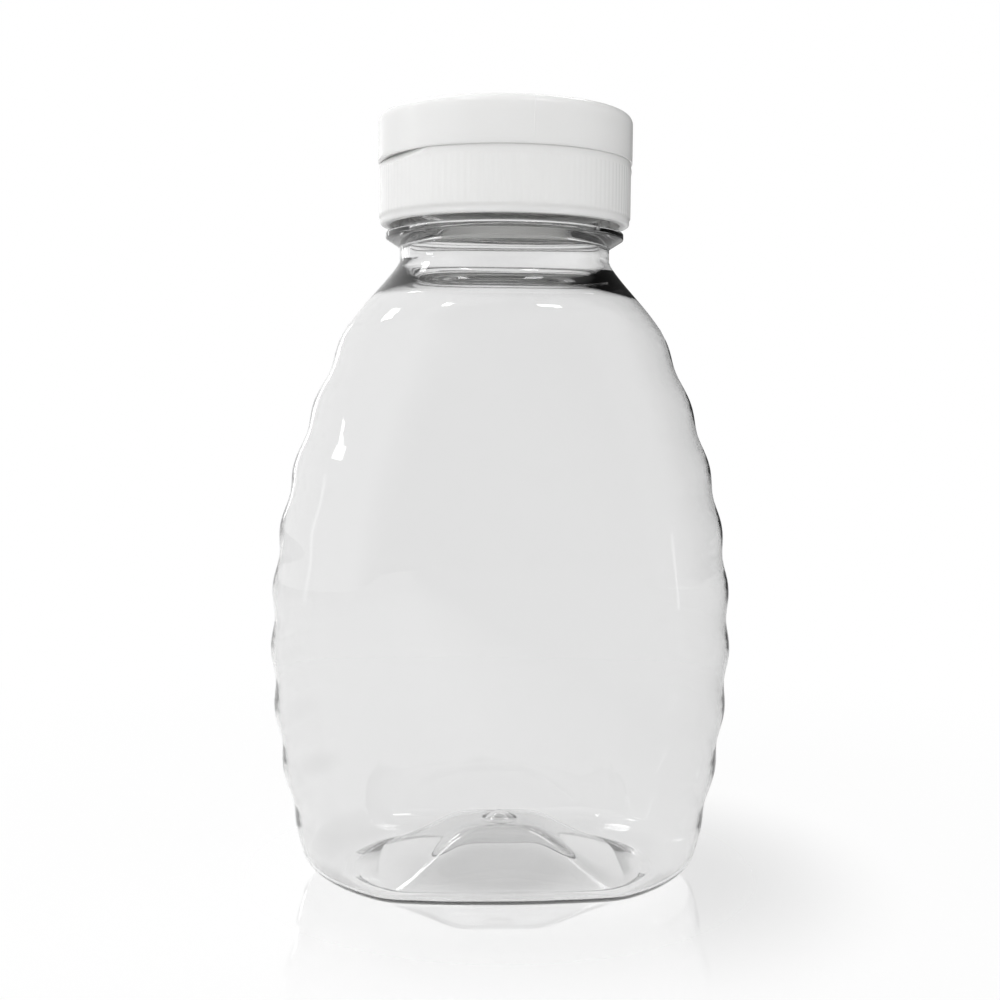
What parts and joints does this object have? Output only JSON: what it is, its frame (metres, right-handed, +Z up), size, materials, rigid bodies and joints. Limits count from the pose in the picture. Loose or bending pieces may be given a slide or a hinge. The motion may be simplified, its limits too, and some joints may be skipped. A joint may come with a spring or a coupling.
{
  "type": "squeeze honey bottle",
  "caption": "Clear oval squeeze bottle for honey with scalloped sides, a round threaded neck and a white flip-top screw closure.",
  "frame": {"origin": "middle of the flat ring that the bottle stands on", "axes": "+Z up along the neck, X across the label panels, -Y out of the front panel"},
  "size_m": [0.0766, 0.05, 0.1255],
  "materials": {
    "clear_pet": "clear blow-moulded",
    "white_polypropylene": "satin injection-moulded",
    "liner_foam": "foamed"
  },
  "bodies": {
    "bottle": {"bottle": "clear_pet"},
    "liner": {"seal_liner": "liner_foam"},
    "closure": {"closure_base": "white_polypropylene", "hinge_webs": "white_polypropylene", "snap_strap": "white_polypropylene"},
    "lid": {"flip_lid": "white_polypropylene"}
  },
  "joints": [
    {"name": "closure_rise", "type": "slide", "parent": "bottle", "child": "liner", "axis": [0, 0, 1], "range_m": [0, 0.00423]},
    {"name": "closure_turn", "type": "hinge", "parent": "liner", "child": "closure", "pos_m": [0, 0, 0.1074], "axis": [0, 0, 1], "range_deg": [0, 360]},
    {"name": "lid_hinge", "type": "hinge", "parent": "closure", "child": "lid", "pos_m": [0.01912, 0.00892, 0.11757], "axis": [-0.4226, 0.9063, 0], "range_deg": [0, 180], "deforming": ["hinge_webs", "snap_strap"]}
  ],
  "couplings": [
    {"joint": "closure_rise", "follows": "closure_turn", "m_per_rad": 0.00067376}
  ]
}
